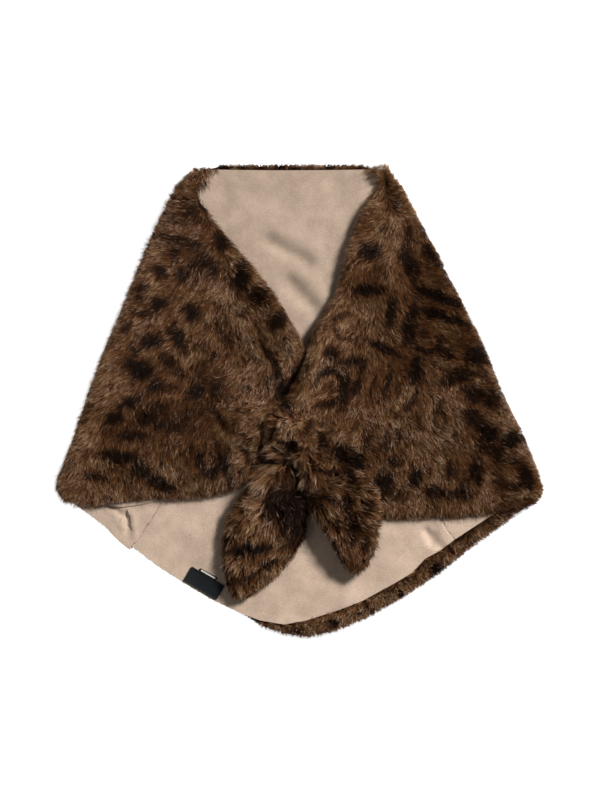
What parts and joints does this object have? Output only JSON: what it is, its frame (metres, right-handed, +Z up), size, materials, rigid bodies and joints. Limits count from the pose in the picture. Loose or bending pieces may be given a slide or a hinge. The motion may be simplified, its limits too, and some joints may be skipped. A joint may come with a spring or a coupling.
{
  "type": "fur scarf",
  "caption": "Lined faux fur shawl scarf tied in a knot at the front with two hanging tails, laid flat.",
  "frame": {"origin": "on the surface that the scarf lies on, below the middle of its bounding box", "axes": "+X towards the right side fold, +Y towards the straight neck edge, +Z up from the surface, towards the knot"},
  "size_m": [0.5837, 0.5646, 0.061],
  "materials": {
    "fur": "long pile faux fur in a spotted brown print",
    "lining": "brushed beige jersey",
    "label": "plain black woven label"
  },
  "bodies": {
    "root": {"fur_back": "fur", "fur_left": "fur", "fur_right": "fur", "knot": "fur", "tail_left": "fur", "tail_right": "fur", "lining_back": "lining", "lining_left": "lining", "lining_right": "lining", "label_main": "label", "label_size": "label"}
  },
  "joints": []
}
